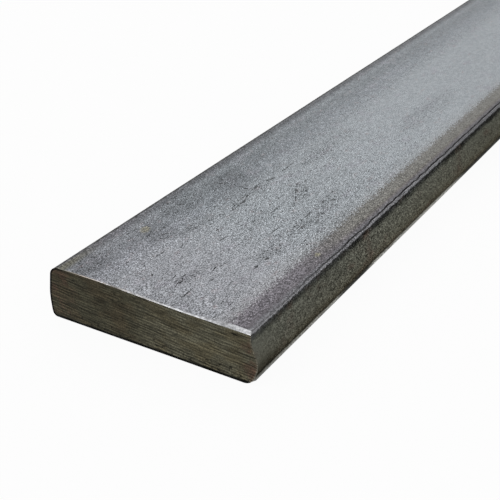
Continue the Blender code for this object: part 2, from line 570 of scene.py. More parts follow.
# %% Which faces are skin, which are sawn and which are dressed
SKIN, EDGE, SAWN, DRESSED = range(4)
RIGHT_EDGE_FROM, LEFT_EDGE_FROM, LEFT_EDGE_TO = -0.3, 46.9, 59.5
middle = (around[1:] + around[:-1]) / 2
on_edge = (middle < RIGHT_EDGE_FROM) | ((middle > LEFT_EDGE_FROM) & (middle < LEFT_EDGE_TO))
skin_kind = np.where(on_edge, EDGE, SKIN) + np.zeros((len(skin) - 1, 1), dtype=int)
skin_kind[:ARRIS_STEPS] = SAWN
skin_kind[-ARRIS_STEPS:] = SAWN
skin_kind[:ARRIS_STEPS, TOP_RUN:RIGHT_RUN] = DRESSED
kinds = np.concatenate([skin_kind.ravel(), np.full(len(near_faces) + len(far_faces), SAWN)])
mesh.polygons.foreach_set("material_index", kinds.astype(np.int32))
print("faces of skin, edges, sawn ends, dressed arris:", np.bincount(kinds).tolist())

# %% [markdown]
# The colour of a sawn end follows the relief and the distance to the rim, as painted light and
# shade. Both are known here as numbers, so each is stored with the vertices as a named value that a
# material can read.


# %% Values stored with the vertices
def rim_distance(face, rim):
    """Distance of every grid point of an end face to the nearest point of its rim, in metres."""
    gaps = face[..., None, 1:] - rim[None, None]
    return np.sqrt((gaps ** 2).sum(axis=-1).min(axis=-1)) * MM


def saw_ridge(face, seed):
    """How far every grid point of an end face stands above the saw lines, 0 to 1."""
    return 1 - saw_lines(face[..., 1:], seed)


def store(name, on_skin, on_near, on_far):
    """Stores a number for each vertex: given per row of the skin, and as a grid on each end."""
    skin_values = np.broadcast_to(on_skin, skin_numbers.shape)
    near_values, far_values = np.broadcast_arrays(on_near, on_far, np.zeros(near_numbers.shape))[:2]
    parts = skin_values, near_values[1:-1, 1:-1], far_values[1:-1, 1:-1]
    values = np.concatenate([part.ravel() for part in parts])
    stored = mesh.attributes.new(name, "FLOAT", "POINT")
    stored.data.foreach_set("value", values.astype(np.float32))
    print(name, "from", round(float(values.min()), 4), "to", round(float(values.max()), 4))


ARRIS_RIDGE = 0.6
up_the_flat = np.clip(np.arange(len(skin)) / ARRIS_STEPS, 0, 1)[:, None]
store("saw_ridge", ARRIS_RIDGE, saw_ridge(near_face, NEAR_SEED), saw_ridge(far_face, FAR_SEED))
store("rim_distance", 0.0, rim_distance(near_face, near_rim), rim_distance(far_face, far_rim))
store("up_the_flat", up_the_flat, 0.0, 0.0)

# %% [markdown]
# Materials. One function adds a node, sets it and links it. Another turns the hex colours that a
# picture editor shows into the linear numbers that light is counted in.


# %% Node and colour helpers
def add(tree, kind, inputs=None, **settings):
    """Add a node of a kind, which is Blender's name for it without "ShaderNode" in front.

    Settings are its own properties, and inputs are constants or other nodes' outputs.
    """
    node = tree.nodes.new("ShaderNode" + kind)
    for name, value in settings.items():
        setattr(node, name, value)
    for name, value in (inputs or {}).items():
        if isinstance(value, bpy.types.NodeSocket):
            tree.links.new(value, node.inputs[name])
        else:
            node.inputs[name].default_value = value
    return node


def linear(hex_colour):
    """Linear colour of an sRGB hex: c / 12.92 when dark, else ((c + 0.055) / 1.055) ^ 2.4."""
    value = np.array([int(hex_colour[i:i + 2], 16) for i in (1, 3, 5)]) / 255
    light = np.where(value <= 0.04045, value / 12.92, ((value + 0.055) / 1.055) ** 2.4)
    return (*light.tolist(), 1.0)


def colour_along(tree, value, stops):
    """Colour that follows a length in metres through (mm, hex colour) stops in rising order."""
    first, last = stops[0][0], stops[-1][0]
    share = add(
        tree, "MapRange",
        {"Value": value, "From Min": first * MM, "From Max": last * MM},
    )
    ramp = add(tree, "ValToRGB", {"Fac": share.outputs["Result"]})
    elements = ramp.color_ramp.elements
    while len(elements) < len(stops):
        elements.new(0.5)
    for element, (at, hex_colour) in zip(elements, stops):
        element.position = (at - first) / (last - first)
        element.color = linear(hex_colour)
    return ramp.outputs["Color"]


def new_material(name):
    """An empty node material and its tree."""
    material = bpy.data.materials.new(name)
    material.use_nodes = True
    material.node_tree.nodes.clear()
    return material, material.node_tree


def finish_metal(tree, inputs):
    """Bare metal with these inputs, as the surface of the material."""
    shader = add(tree, "BsdfPrincipled", {"Metallic": 1.0, **inputs})
    add(tree, "OutputMaterial", {"Surface": shader.outputs["BSDF"]})


print("a middle grey as light:", round(linear("#808080")[0], 3))


# %% [markdown]
# Steel looks like steel through many faint patterns on top of each other: grain, streaks, pits,
# tarnish. Each one here is a mask from 0 to 1. A pattern is smooth noise stretched to a real size
# and cut between two levels, and a window is a length cut between two places. Tables list them by
# name, and say which of them overlap where the steel gets another shade or tint. A separate picture
# for each pattern would do too, but a mask has no edge and no end.


# %% Masks from noise and from lengths
def mask_between(tree, value, start, full):
    """Mask of a value: empty at the start, full at the full level, the smooth step between."""
    step = add(
        tree, "MapRange", {"Value": value, "From Min": start, "From Max": full},
        interpolation_type="SMOOTHSTEP",
    )
    return step.outputs["Result"]


def noise_masks(tree, place, patterns):
    """One mask for each pattern: noise of the given size, cut between two levels.

    A pattern is the size of its cells in mm along the bar, across it and up, the number of finer
    layers, and the two levels of the noise, 0 to 1, where the mask starts and where it is full.
    """
    masks = {}
    for number, (name, (size, layers, start, full)) in enumerate(patterns.items()):
        stretch = tuple(1 / (side * MM) for side in size)
        shift = (number * 17.3, number * 9.1, number * 5.7)
        cells = add(tree, "Mapping", {"Vector": place, "Location": shift, "Scale": stretch})
        noise = add(
            tree, "TexNoise",
            {"Vector": cells.outputs["Vector"], "Scale": 1.0, "Detail": layers, "Roughness": 0.62},
        )
        masks[name] = mask_between(tree, noise.outputs["Fac"], start, full)
    return masks


# %% Masks taken together
def taken_together(tree, operation, masks):
    """Masks joined two at a time by one operation."""
    total = masks[0]
    for mask in masks[1:]:
        total = add(tree, "Math", {0: total, 1: mask}, operation=operation).outputs[0]
    return total


def window_masks(tree, measures, windows):
    """One mask for each window: a measure, and the mm where the mask starts and where it is full.

    Two more numbers say how far it stays full and where it ends. A measure is a length in metres,
    and the mm at which its own zero lies.
    """
    masks = {}
    for name, (measure, *places) in windows.items():
        value, zero = measures[measure]
        start, full, *rest = [(zero + place) * MM for place in places]
        sides = [(start, full), *([rest[::-1]] if rest else [])]
        steps = [mask_between(tree, value, *side) for side in sides]
        masks[name] = taken_together(tree, "MULTIPLY", steps)
    return masks


def either(tree, *masks):
    """Where any of the masks is full: their maximum."""
    return taken_together(tree, "MAXIMUM", masks)


def overlap(tree, masks, names):
    """Where all of the named masks overlap: their product."""
    return taken_together(tree, "MULTIPLY", [masks[name] for name in names.split()])


def times_plus(tree, value, times, plus):
    """A value times one number or mask, plus another."""
    return add(tree, "Math", {0: value, 1: times, 2: plus}, operation="MULTIPLY_ADD").outputs[0]


def swaying(tree, value, mask, sway):
    """The value plus the sway times (mask - 1/2): up to half of the sway to either side."""
    return times_plus(tree, times_plus(tree, mask, 1.0, -0.5), sway, value)


# %% Shades and tints
def shaded(tree, colour, mask, empty, full):
    """The colour times a factor that goes from one number to another as the mask fills."""
    factor = times_plus(tree, mask, full - empty, empty)
    scaled = add(tree, "VectorMath", {0: colour, "Scale": factor}, operation="SCALE")
    return scaled.outputs["Vector"]


def all_shades(tree, colour, masks, shades):
    """The colour with every shade of a table: the names that overlap, and the two factors."""
    for names, empty, full in shades:
        colour = shaded(tree, colour, overlap(tree, masks, names), empty, full)
    return colour


def all_tints(tree, colour, masks, tints, blend="MIX"):
    """The colour mixed with every tint of a table where the named masks overlap.

    The blend is MIX, which goes over to the tint, or MULTIPLY, light through coloured glass.
    """
    for names, tint in tints:
        mixed = add(
            tree, "Mix",
            {"Factor": overlap(tree, masks, names), 6: colour, 7: linear(tint)},
            data_type="RGBA", blend_type=blend,
        )
        colour = mixed.outputs[2]
    return colour


# %% [markdown]
# The rolled skin is annealed and pickled stainless steel: acid took the scale off and left a dull,
# faintly bluish grey with an etched grain. It is bare metal, so metallic is 1, and the etching
# makes it rough. The grey isn't even. Towards the left edge it is darker, the right shoulder is
# brownish where pickling was weaker, and the edges that no roll touched are dark olive. Part of
# that darkness is painted shade where the faces curve or turn away from the light, and the zones
# also hold painted highlights and shade at the ridge, the neck, the right foot and the left
# rounding. Those zones follow the distance round the section, so they are read from the unrolled
# map, and noise frays them.

# %% Zones of the skin: distance round the section in mm from the ridge, and the colour there
ZONES = [
    # Painted reflection: the two light stops on the right foot stand for the white floor that it
    # mirrors
    (-12.1, "#C0C0B9"),
    (-10.3, "#A6A69F"),
    (-9.95, "#3F3C30"),
    (-9.4, "#444238"),
    # The olive of the right side is partly its tarnish and partly painted shade of a face turned
    # from the light
    (-8.6, "#625E53"),
    (-7.0, "#68675D"),
    (-2.6, "#717269"),
    # Painted shade: the dark stops under the ridge stand for the shade in the hollow neck
    (-1.8, "#4A4B47"),
    (-1.0, "#4C4D4C"),
    (-0.55, "#58585A"),
    # Painted highlight: the light stops are the lip of the ridge catching the light
    (-0.3, "#A7A7AB"),
    (0.05, "#8A8A8D"),
    # The shoulder is darker and brownish: partly its own tone and partly painted shade where it
    # falls towards the ridge
    (0.45, "#6A6A6E"),
    (1.6, "#5E5A5E"),
    (3.4, "#67646A"),
    (4.2, "#8C8F91"),
    (9.0, "#909599"),
    (31.0, "#8D9296"),
    # Darker towards the left edge: partly painted shade where the top curves down to the rounding
    (36.0, "#858A8F"),
    (41.0, "#777C80"),
    (43.2, "#7F8488"),
    # Painted highlight and shade on the left rounding: a light line between dark stops, darkest at
    # the outline
    (45.2, "#5E6064"),
    (45.6, "#75777B"),
    (46.15, "#48494B"),
    (46.6, "#1E1E1C"),
    (48.0, "#34332F"),
    (51.5, "#5F5C51"),
    (61.0, "#6F7175"),
    (108.0, "#6F7175"),
]

print("stops round the section:", len(ZONES))

# %% [markdown]
# Etched grain is a few hundredths of a millimetre wide, much too fine to show from this distance.
# So "grain", "fine", "pitting" and "specks" are drawn at 0.2 to 0.5 mm, as coarse as they need to
# be to show, and streaks and clouds at the size that they have. "clouds", "lilac" and "blush" are
# where pickling left a tone of its own.

# %% Patterns of the skin: cell size in mm (along, across, up), finer layers, start and full level
SKIN_PATTERNS = {
    "grain": ((0.34, 0.28, 0.30), 1.0, 0.26, 0.74),
    "pitting": ((0.45, 0.30, 0.40), 1.0, 0.25, 0.75),
    "fine": ((0.23, 0.19, 0.20), 0.0, 0.25, 0.75),
    "dashes": ((1.7, 0.20, 0.40), 1.0, 0.29, 0.71),
    "mottle": ((1.8, 1.2, 1.2), 3.0, 0.35, 0.65),
    "streaks": ((6.0, 0.34, 0.4), 2.0, 0.50, 0.66),
    "clouds": ((12.0, 5.0, 5.0), 3.0, 0.36, 0.66),
    "patches": ((20.0, 7.0, 9.0), 2.0, 0.46, 0.62),
    "lilac": ((7.0, 5.0, 5.0), 3.0, 0.52, 0.84),
    "blush": ((3.0, 1.8, 1.8), 2.0, 0.56, 0.90),
    "crust": ((0.8, 0.6, 0.6), 3.0, 0.38, 0.64),
    "scallops": ((4.5, 30.0, 1.6), 3.0, 0.46, 0.58),
    "waver": ((3.0, 50.0, 50.0), 3.0, 0.30, 0.70),
    "specks": ((0.46, 0.20, 0.24), 1.0, 0.55, 0.65),
}
print("patterns of the skin:", len(SKIN_PATTERNS))

# %% [markdown]
# Some marks are single: scratches from handling, a crack that the rolls drew out, pits and two
# specks of rust. Each is a long soft spot, laid on the top face by its centre and half sizes. The
# places it is read at are shaken by a fine noise, so no mark stays a clean ellipse.

# %% Marks on the top face: mm from the near end, mm from the middle, half length, half width, turn
MARKS = [
    (9.0, -0.1, 2.2, 0.30, 0),
    (9.6, -1.4, 3.4, 0.26, -4),
    (8.4, -2.3, 2.4, 0.28, -8),
    (12.6, -2.9, 2.4, 0.26, -6),
    (5.9, -5.7, 3.2, 0.26, 0),
    (15.8, -5.2, 2.4, 0.30, 8),
    (12.2, -7.2, 1.3, 0.34, -10),
    (7.9, 4.2, 0.6, 0.42, 20),
    (8.8, -4.3, 0.4, 0.34, 0),
    (10.0, 7.8, 0.5, 0.34, 0),
    (31.0, 3.4, 0.8, 0.42, 15),
    (28.4, 0.2, 1.9, 0.28, -6),
    (38.6, -1.1, 1.4, 0.40, 0),
    (45.4, -2.4, 3.6, 0.26, 2),
    (51.5, 0.2, 0.7, 0.42, -20),
    (21.1, -12.1, 1.6, 0.40, -6),
    (25.3, -12.3, 1.1, 0.40, 0),
    (37.6, -7.4, 3.6, 0.24, -4),
    (37.8, 6.5, 1.3, 0.36, -25),
    (41.8, 5.7, 2.6, 0.42, 0),
    (46.0, 5.9, 1.8, 0.50, 10),
    (49.4, 6.8, 1.8, 0.34, 14),
    (54.2, 7.5, 3.2, 0.50, 4),
    (59.6, 6.7, 2.6, 0.36, -12),
    (68.0, 6.7, 4.4, 0.28, 2),
    (52.3, 9.6, 2.4, 0.40, 86),
    (51.9, 15.3, 1.4, 0.44, -35),
    (47.6, 14.8, 0.5, 0.40, 0),
    (34.2, 7.2, 1.8, 0.36, -22),
    (21.4, 6.0, 2.6, 0.34, 8),
    (16.0, 7.8, 3.4, 0.26, 0),
    (50.2, -4.8, 2.2, 0.34, 24),
    (53.6, -3.4, 2.0, 0.32, 32),
    (57.0, -1.6, 2.4, 0.36, 28),
    (60.4, -0.2, 1.4, 0.42, 24),
    (59.0, -3.0, 2.2, 0.28, 34),
    (63.2, -0.8, 1.2, 0.44, 30),
    (73.6, -1.1, 1.6, 0.36, -30),
    (47.8, -9.9, 3.2, 0.32, 0),
    (55.4, -9.8, 1.6, 0.30, 0),
    (61.0, -9.2, 1.2, 0.34, 0),
    (41.4, -11.7, 2.0, 0.50, -8),
    (40.9, -10.2, 0.7, 0.40, 60),
    (49.8, -12.5, 1.4, 0.36, 0),
    (57.0, -11.4, 1.5, 0.36, -32),
    (36.9, -12.9, 0.6, 0.36, 0),
    (29.5, -12.2, 0.5, 0.34, 0),
    (35.6, -15.2, 3.2, 0.22, 0),
    (6.0, -13.6, 1.1, 0.34, 0),
]
RUST_SPECKS = [
    (23.2, 17.0, 2.2, 1.5, 20),
    (32.2, -20.3, 1.2, 0.8, 0),
]
PITTED_AREAS = [
    (5.0, 17.5, 9.0, 5.0, 0),
    (24.0, 13.0, 7.0, 6.0, 0),
    (38.0, 17.0, 12.0, 6.0, 0),
    (54.0, 14.5, 11.0, 7.0, 0),
    (30.0, 8.5, 9.0, 1.8, -8),
    (47.0, 6.5, 16.0, 1.6, 2),
    (57.0, -3.0, 9.0, 3.2, 33),
    (28.0, -11.5, 8.0, 3.0, -8),
    (43.0, -11.5, 12.0, 3.4, 0),
    (57.0, -11.0, 9.0, 3.6, 0),
    (11.0, -2.5, 6.0, 1.8, -4),
    (84.0, 4.0, 24.0, 4.0, 0),
    (120.0, -8.0, 30.0, 5.0, 0),
    (296.0, 9.0, 20.0, 5.0, 0),
    (352.0, -6.0, 26.0, 5.0, 4),
    (410.0, 12.0, 22.0, 6.0, 0),
    (462.0, -3.0, 24.0, 6.0, -6),
]


def top_spots(marks):
    """Marks as spots on the top face: centre, half sizes, and turn round each axis."""
    return [
        ((NEAR_END + from_end, across, THICKNESS), (length, width, 1.0), (0, 0, math.radians(turn)))
        for from_end, across, length, width, turn in marks
    ]


def mark_mask(tree, place, spots):
    """Mask that is full at the middle of every spot and falls to nothing at its outline."""
    balls = []
    for centre, half_sizes, turn in spots:
        spot = add(
            tree, "Mapping",
            {
                "Vector": place,
                "Location": tuple(value * MM for value in centre),
                "Rotation": turn,
                "Scale": tuple(value * MM for value in half_sizes),
            },
            vector_type="TEXTURE",
        )
        ball = add(
            tree, "TexGradient", {"Vector": spot.outputs["Vector"]},
            gradient_type="SPHERICAL",
        )
        balls.append(ball.outputs["Fac"])
    return mask_between(tree, either(tree, *balls), 0.05, 0.6)


print("marks, rust specks, pitted areas:", len(MARKS), len(RUST_SPECKS), len(PITTED_AREAS))

# %% [markdown]
# Where each pattern shows is a matter of place, so the windows come next. Near the sawn end the
# photograph is sharp and the grain is strong. Further on it is soft, and the same grain would look
# too harsh, so it weakens from 30 to 190 mm and comes back in the far half, which isn't shown. The
# measures are the distance along the bar from the near end, the distance round the section from the
# ridge, two swayed copies of that, and the distance from the drifting groove.

# %% Windows of the skin: a measure, and the mm where the mask starts, is full, and maybe ends
SKIN_WINDOWS = {
    "beyond": ("along", 22, 62),
    "cloudy": ("along", 110, 40),
    "far_half": ("along", 250, 330),
    "crisp": ("along", 190, 30),
    "coarse": ("along", 340, 80),
    "groove_deepens": ("along", -6, 54),
    "at_end": ("along", 15, 2),
    "middling": ("along", 14, 34),
    "grain_begins": ("along", -4, 12),
    "near_third": ("along", 45, 12),
    "neck_darkens": ("along", 28, 48),
    "foot_gap": ("along", 33, 39, 49, 54),
    "past_100": ("along", 98, 112),
    "groove_line": ("off_groove", -0.28, -0.10, 0.16, 0.34),
    "crest_line": ("off_groove", 0.10, 0.28, 0.42, 0.66),
    "not_right": ("frayed", 3.5, 6.0),
    "not_top": ("frayed", 5.8, 4.3),
    "shadow_edge": ("scalloped", -2.3, -1.6),
    "below_ridge": ("around", -0.7, -1.0),
    "lip": ("around", -0.7, -0.3, 0.2, 0.5),
    "foot": ("around", -9.6, -10.1),
    "low_side": ("around", -5.5, -7.5),
    "side": ("around", 0.0, -1.0),
    "over_ridge": ("around", 0.9, 2.4),
    "outer": ("around", 1.6, 3.0),
    "far_left": ("around", 28.0, 33.5),
    "dark_left": ("around", 30.5, 36.0, 38.4, 42.4),
    "not_left": ("around", 46.5, 44.0),
    "left_strip": ("around", 43.2, 44.8, 45.6, 46.2),
    "left_rounding": ("around", 44.4, 45.6),
}
print("windows of the skin:", len(SKIN_WINDOWS))

# %% Areas of the skin: where some of these windows and patterns overlap
SKIN_AREAS = {
    "top": "not_right not_left",
    "shadow": "shadow_edge below_ridge",
    "shoulder": "not_top over_ridge",
    "outer_shoulder": "outer not_top",
}
print("areas of the skin:", list(SKIN_AREAS))


# %% Measures and masks of the skin
GROOVE_WAVER = 0.36


def skin_measures(tree, masks):
    """Each length that a window follows, with the mm at which its zero lies.

    The drifting groove is the distance round the section, plus a waver of 0 to 0.36 mm, minus the
    drift times the distance along the bar, so its zero is where the groove starts plus half of the
    waver, minus the drift times the near end.
    """
    unrolled = add(tree, "UVMap", uv_map="unrolled").outputs["UV"]
    position = add(tree, "SeparateXYZ", {"Vector": unrolled})
    along_bar, around_ridge = position.outputs["X"], position.outputs["Y"]
    wavering = times_plus(tree, masks["waver"], GROOVE_WAVER * MM, around_ridge)
    drifting = times_plus(tree, along_bar, -GROOVE_DRIFT, wavering)
    groove_zero = GROOVE_START + GROOVE_WAVER / 2 - GROOVE_DRIFT * NEAR_END
    crusty = swaying(tree, around_ridge, masks["crust"], 1.2 * MM)
    return {
        "along": (along_bar, NEAR_END),
        "around": (around_ridge, 0),
        "swayed": (swaying(tree, around_ridge, masks["crust"], 0.5 * MM), 0),
        "frayed": (swaying(tree, crusty, masks["grain"], 1.4 * MM), 0),
        "scalloped": (swaying(tree, around_ridge, masks["scallops"], 1.5 * MM), 0),
        "off_groove": (drifting, groove_zero),
    }


def skin_marks(tree, place):
    """Masks of the single marks, the rust specks and the pitted areas, in shaken places."""
    shake = add(tree, "TexNoise", {"Vector": place, "Scale": 1 / (0.8 * MM), "Detail": 2.0})
    moved = add(
        tree, "VectorMath",
        {0: shake.outputs["Color"], 1: (0.5 * MM,) * 3, 2: (-0.25 * MM,) * 3},
        operation="MULTIPLY_ADD",
    )
    shaken = add(tree, "VectorMath", {0: place, 1: moved.outputs["Vector"]}, operation="ADD")
    return {
        name: mark_mask(tree, shaken.outputs["Vector"], top_spots(marks))
        for name, marks in (("marks", MARKS), ("rust", RUST_SPECKS), ("pitted", PITTED_AREAS))
    }


# %% [markdown]
# Pits. A pit opens where the steel is weak, so the cells of a fine pattern are weighed with what
# weakens them: a single mark, a streak, a pitted area, or just the plain top. Only where the sum
# passes a limit is there a pit, which makes each mark a row of small broken pits, as acid does.

# %% Pits: the cells, the masks that weaken the steel there, and by how much
PIT_CAUSES = [
    ("dashes", "marks", 0.70),
    ("dashes", "streaks patches", 0.28),
    ("pitting", "pitted", 0.31),
    ("pitting", "middling crisp", 0.17),
]
PIT_STARTS, PIT_FULL = 1.03, 1.12


def skin_pits(tree, masks):
    """Mask of the pits: the cells plus the cause times its amount, cut between two levels."""
    pits = []
    for cells, names, amount in PIT_CAUSES:
        weakness = times_plus(tree, overlap(tree, masks, names), amount, masks[cells])
        pits.append(mask_between(tree, weakness, PIT_STARTS, PIT_FULL))
    return either(tree, *pits)


# %% All masks of the skin
def skin_masks(tree, place):
    """Every mask of the skin by name, and the swayed distance that its zones follow."""
    masks = noise_masks(tree, place, SKIN_PATTERNS)
    masks |= skin_marks(tree, place)
    measures = skin_measures(tree, masks)
    masks |= window_masks(tree, measures, SKIN_WINDOWS)
    for name in ("crisp", "coarse", "cloudy"):
        masks[name] = either(tree, masks[name], masks["far_half"])
    for name, overlapping in SKIN_AREAS.items():
        masks[name] = overlap(tree, masks, overlapping)
    masks["dull_foot"] = either(tree, masks["foot_gap"], masks["past_100"])
    masks["grainy"] = either(tree, masks["grain_begins"], masks["over_ridge"])
    masks["pits"] = skin_pits(tree, masks)
    return masks, measures["swayed"][0]


# %% Tints of the skin: the masks that overlap, and the colour there
SKIN_TINTS = [
    # The shoulder tints are brownish tone and partly painted shade where the shoulder falls towards
    # the ridge
    ("shoulder", "#68656A"),
    ("shoulder beyond", "#68655F"),
    ("outer_shoulder beyond", "#706F6B"),
    ("blush top", "#8D8587"),
    ("lilac top", "#8B8B92"),
    ("rust grain", "#908D76"),
    ("lilac side", "#62564E"),
    ("left_strip at_end", "#62635A"),
]
WARM_FILM = [("near_third not_right", "#FFFAFB")]

# %% Grain of the skin: the pattern, where it shows, and its darkest and lightest factor
SKIN_GRAINS = [
    ("grain", "crisp grainy", 0.41, 1.59),
    ("fine", "crisp middling", 0.48, 1.52),
    ("crust", "side grainy", 0.80, 1.20),
    ("fine", "side beyond", 0.66, 1.34),
    ("pitting", "shoulder crisp", 0.45, 1.55),
    ("pitting", "far_left coarse", 0.58, 1.42),
]

# %% Shades of the skin: the masks that overlap, the factor elsewhere and the factor there
SKIN_SHADES = [
    ("specks crisp not_right", 1.0, 0.28),
    ("crisp not_right", 1.0, 1.11),
    ("pits crisp top", 1.04, 0.12),
    ("mottle", 0.95, 1.05),
    ("side beyond", 1.0, 1.12),
    ("clouds cloudy", 1.03, 0.92),
    # Painted shade on the left band and the left rounding, deeper further along the bar
    ("far_left beyond", 1.0, 0.90),
    ("left_rounding beyond", 1.0, 0.76),
    ("dark_left clouds", 1.0, 0.92),
    ("pitted", 1.0, 0.96),
    # Painted highlight on the crest beside the groove, and painted shade in the groove, deeper away
    # from the near end
    ("crest_line cloudy", 1.0, 1.16),
    ("groove_line groove_deepens", 1.0, 0.07),
    ("shadow neck_darkens", 1.0, 0.62),
    ("shadow at_end", 1.0, 1.40),
    ("low_side at_end", 1.0, 0.70),
    ("outer_shoulder near_third", 1.0, 1.10),
    # Painted highlight on the lip of the ridge, brighter in the clouds and dimmer past 100 mm
    ("lip clouds cloudy", 1.0, 1.28),
    ("lip past_100", 1.0, 0.84),
    # The painted reflection on the right foot is darkened over a gap and past 100 mm
    ("foot dull_foot", 1.0, 0.22),
]
print("tints, grains, shades:", len(SKIN_TINTS), len(SKIN_GRAINS), len(SKIN_SHADES))


# %% Pickled skin and tarnished edges
def rolled_skin(name, edge_on, smooth, rough):
    """Dull etched steel: zones round the section, grain, streaks along the bar, marks and pits.

    The name, the colour that it mirrors with when seen edge-on, and its roughness from the smooth
    to the rough patches are what tell the faces from the edges. The dim edge-on colour of the edges
    is painted shade: it dims the white floor that they mirror.
    """
    material, tree = new_material(name)
    place = add(tree, "TexCoord").outputs["Object"]
    masks, swayed = skin_masks(tree, place)
    colour = all_tints(tree, colour_along(tree, swayed, ZONES), masks, SKIN_TINTS)
    colour = all_tints(tree, colour, masks, WARM_FILM, "MULTIPLY")
    for pattern, names, dark, light in SKIN_GRAINS:
        # Where the named masks are empty the pattern stays at one half, so the colour stays too
        grain = swaying(tree, 0.5, masks[pattern], overlap(tree, masks, names))
        colour = shaded(tree, colour, grain, dark, light)
    colour = all_shades(tree, colour, masks, SKIN_SHADES)
    height = times_plus(tree, masks["pits"], -1.0, masks["grain"])
    bump = add(tree, "Bump", {"Height": height, "Strength": 0.35, "Distance": 0.06 * MM})
    roughness = add(
        tree, "MapRange", {"Value": masks["mottle"], "To Min": smooth, "To Max": rough},
    )
    finish_metal(tree, {
        "Base Color": colour,
        "Specular Tint": linear(edge_on),
        "Roughness": roughness.outputs["Result"],
        "Normal": bump.outputs["Normal"],
    })
    return material


def put_on_bar(material):
    """Give the bar one more material, and print how many nodes it has."""
    mesh.materials.append(material)
    print(material.name, "has", len(material.node_tree.nodes), "nodes")


put_on_bar(rolled_skin("pickled_hot_rolled_stainless", "#F0F0F0", 0.46, 0.58))
# The edges are a copy of the skin whose dim edge-on colour is painted shade, on top of their tarnish
put_on_bar(rolled_skin("rolled_edge_tarnish_and_painted_shade", "#747474", 0.52, 0.64))

# %% [markdown]
# The sawn face. Freshly cut steel is bright, but this end has stood about: it is dark olive brown,
# with rusty tints towards both edges. Part of that darkness is painted shade of a face turned from
# the light, and the darkest rim and the black foot are painted shade and a painted contact shadow.
# The colour is lighter on the tops between the saw lines and darker in the cuts, painted light and
# shade that follows the same lines as the relief.

# %% Patterns and windows of the sawn face
SAWN_PATTERNS = {
    "hairlines": ((4.0, 3.2, 0.20), 1.0, 0.30, 0.70),
    "bands": ((4.0, 18.0, 1.0), 2.0, 0.35, 0.65),
    "rust": ((4.0, 3.0, 2.4), 3.0, 0.46, 0.66),
    "brown": ((9.0, 7.0, 4.0), 2.0, 0.42, 0.62),
    "grain": ((0.34, 0.34, 0.30), 2.0, 0.28, 0.72),
    "pits": ((0.9, 0.8, 0.6), 2.0, 0.57, 0.64),
}
SAWN_WINDOWS = {
    "left_end": ("across", 17, 23),
    "right_end": ("across", -20, -24),
    "right_half": ("across", 6, -4),
    "upper": ("up", 6.5, 9.5),
    "lower": ("up", 3.5, 1.5),
    "foot": ("up", 0.78, 0.52),
    "rim": ("from_rim", 0.56, 0.34),
    "arris": ("from_rim", 0.34, 0.04),
}
SAW_TURN = math.atan(SAW_SLOPE)
print("slope of the saw lines, degrees:", round(math.degrees(SAW_TURN), 1))

# %% Pits of the near end: mm from the middle, mm up, half width, half height
END_PITS = [
    (-19.0, 2.5, 0.50, 0.40),
    (-16.5, 2.2, 0.40, 0.32),
    (-13.6, 2.3, 0.80, 0.22),
    (-1.2, 2.7, 0.50, 0.24),
    (6.1, 8.6, 0.50, 0.26),
    (8.0, 10.3, 0.40, 0.26),
    (18.4, 10.2, 0.60, 0.26),
    (-19.9, 10.2, 1.10, 0.34),
]


def end_spots(pits):
    """Pits as spots on the near end face, turned with the saw lines."""
    turn = (-SAW_TURN, 0, 0)
    return [
        ((NEAR_END, across, up), (1.0, width, height), turn)
        for across, up, width, height in pits
    ]


print("single pits on the near end:", len(END_PITS))

# %% Tints and shades of the sawn face: the masks that overlap, and the colour or factors
# The olive base is partly the cut's tarnish and partly painted shade of a face turned from the light
SAWN_OLIVE = "#37352A"
SAWN_TINTS = [
    ("brown", "#393428"),
    ("right_half", "#4A483C"),
    ("brown right_half", "#474335"),
    ("ends rust", "#47392F"),
    ("arris right_end", "#45423A"),
]
SAWN_SHADES = [
    # Painted light and shade of the saw lines: lighter on their tops, darker in the cuts
    ("ridges", 0.10, 1.62),
    ("hairlines", 0.56, 1.50),
    ("bands", 0.90, 1.10),
    ("grain", 0.60, 1.42),
    ("upper", 1.0, 0.84),
    ("right_end", 1.0, 0.92),
    ("pits lower", 1.0, 0.30),
    ("end_pits", 1.0, 0.25),
    # Painted shade round the rim at the left end
    ("rim left_end", 1.0, 0.10),
    # Painted highlight on the broken arris at the right end
    ("arris right_end", 1.0, 1.9),
    # Painted contact shadow along the foot of the end face
    ("foot", 1.0, 0.04),
]


# %% Sawn face
def sawn_face():
    """Dark saw cut, tarnish and painted shade: lines across, rusty blotches, pits near the foot
    and a dark rim of painted shade.
    """
    material, tree = new_material("band_sawn_steel_tarnish_and_painted_shade")
    place = add(tree, "TexCoord").outputs["Object"]
    turned = add(tree, "Mapping", {"Vector": place, "Rotation": (SAW_TURN, 0, 0)})
    position = add(tree, "SeparateXYZ", {"Vector": place}).outputs
    rim, ridges = (
        add(tree, "Attribute", attribute_name=name).outputs["Fac"]
        for name in ("rim_distance", "saw_ridge")
    )
    measures = {"across": (position["Y"], 0), "up": (position["Z"], 0), "from_rim": (rim, 0)}
    masks = noise_masks(tree, turned.outputs["Vector"], SAWN_PATTERNS)
    masks |= window_masks(tree, measures, SAWN_WINDOWS)
    masks["ridges"] = ridges
    masks["ends"] = either(tree, masks["left_end"], masks["right_end"])
    masks["end_pits"] = mark_mask(tree, place, end_spots(END_PITS))

    colour = all_tints(tree, linear(SAWN_OLIVE), masks, SAWN_TINTS)
    colour = all_shades(tree, colour, masks, SAWN_SHADES)
    relief = {"Height": masks["hairlines"], "Strength": 0.3, "Distance": 0.05 * MM}
    bump = add(tree, "Bump", relief)
    finish_metal(tree, {"Base Color": colour, "Roughness": 0.5, "Normal": bump.outputs["Normal"]})
    return material


put_on_bar(sawn_face())

# %% [markdown]
# The dressed arris is the only bright metal on the bar: a grinder took it down to clean steel. Its
# left part has tanned again and shines only in flecks.

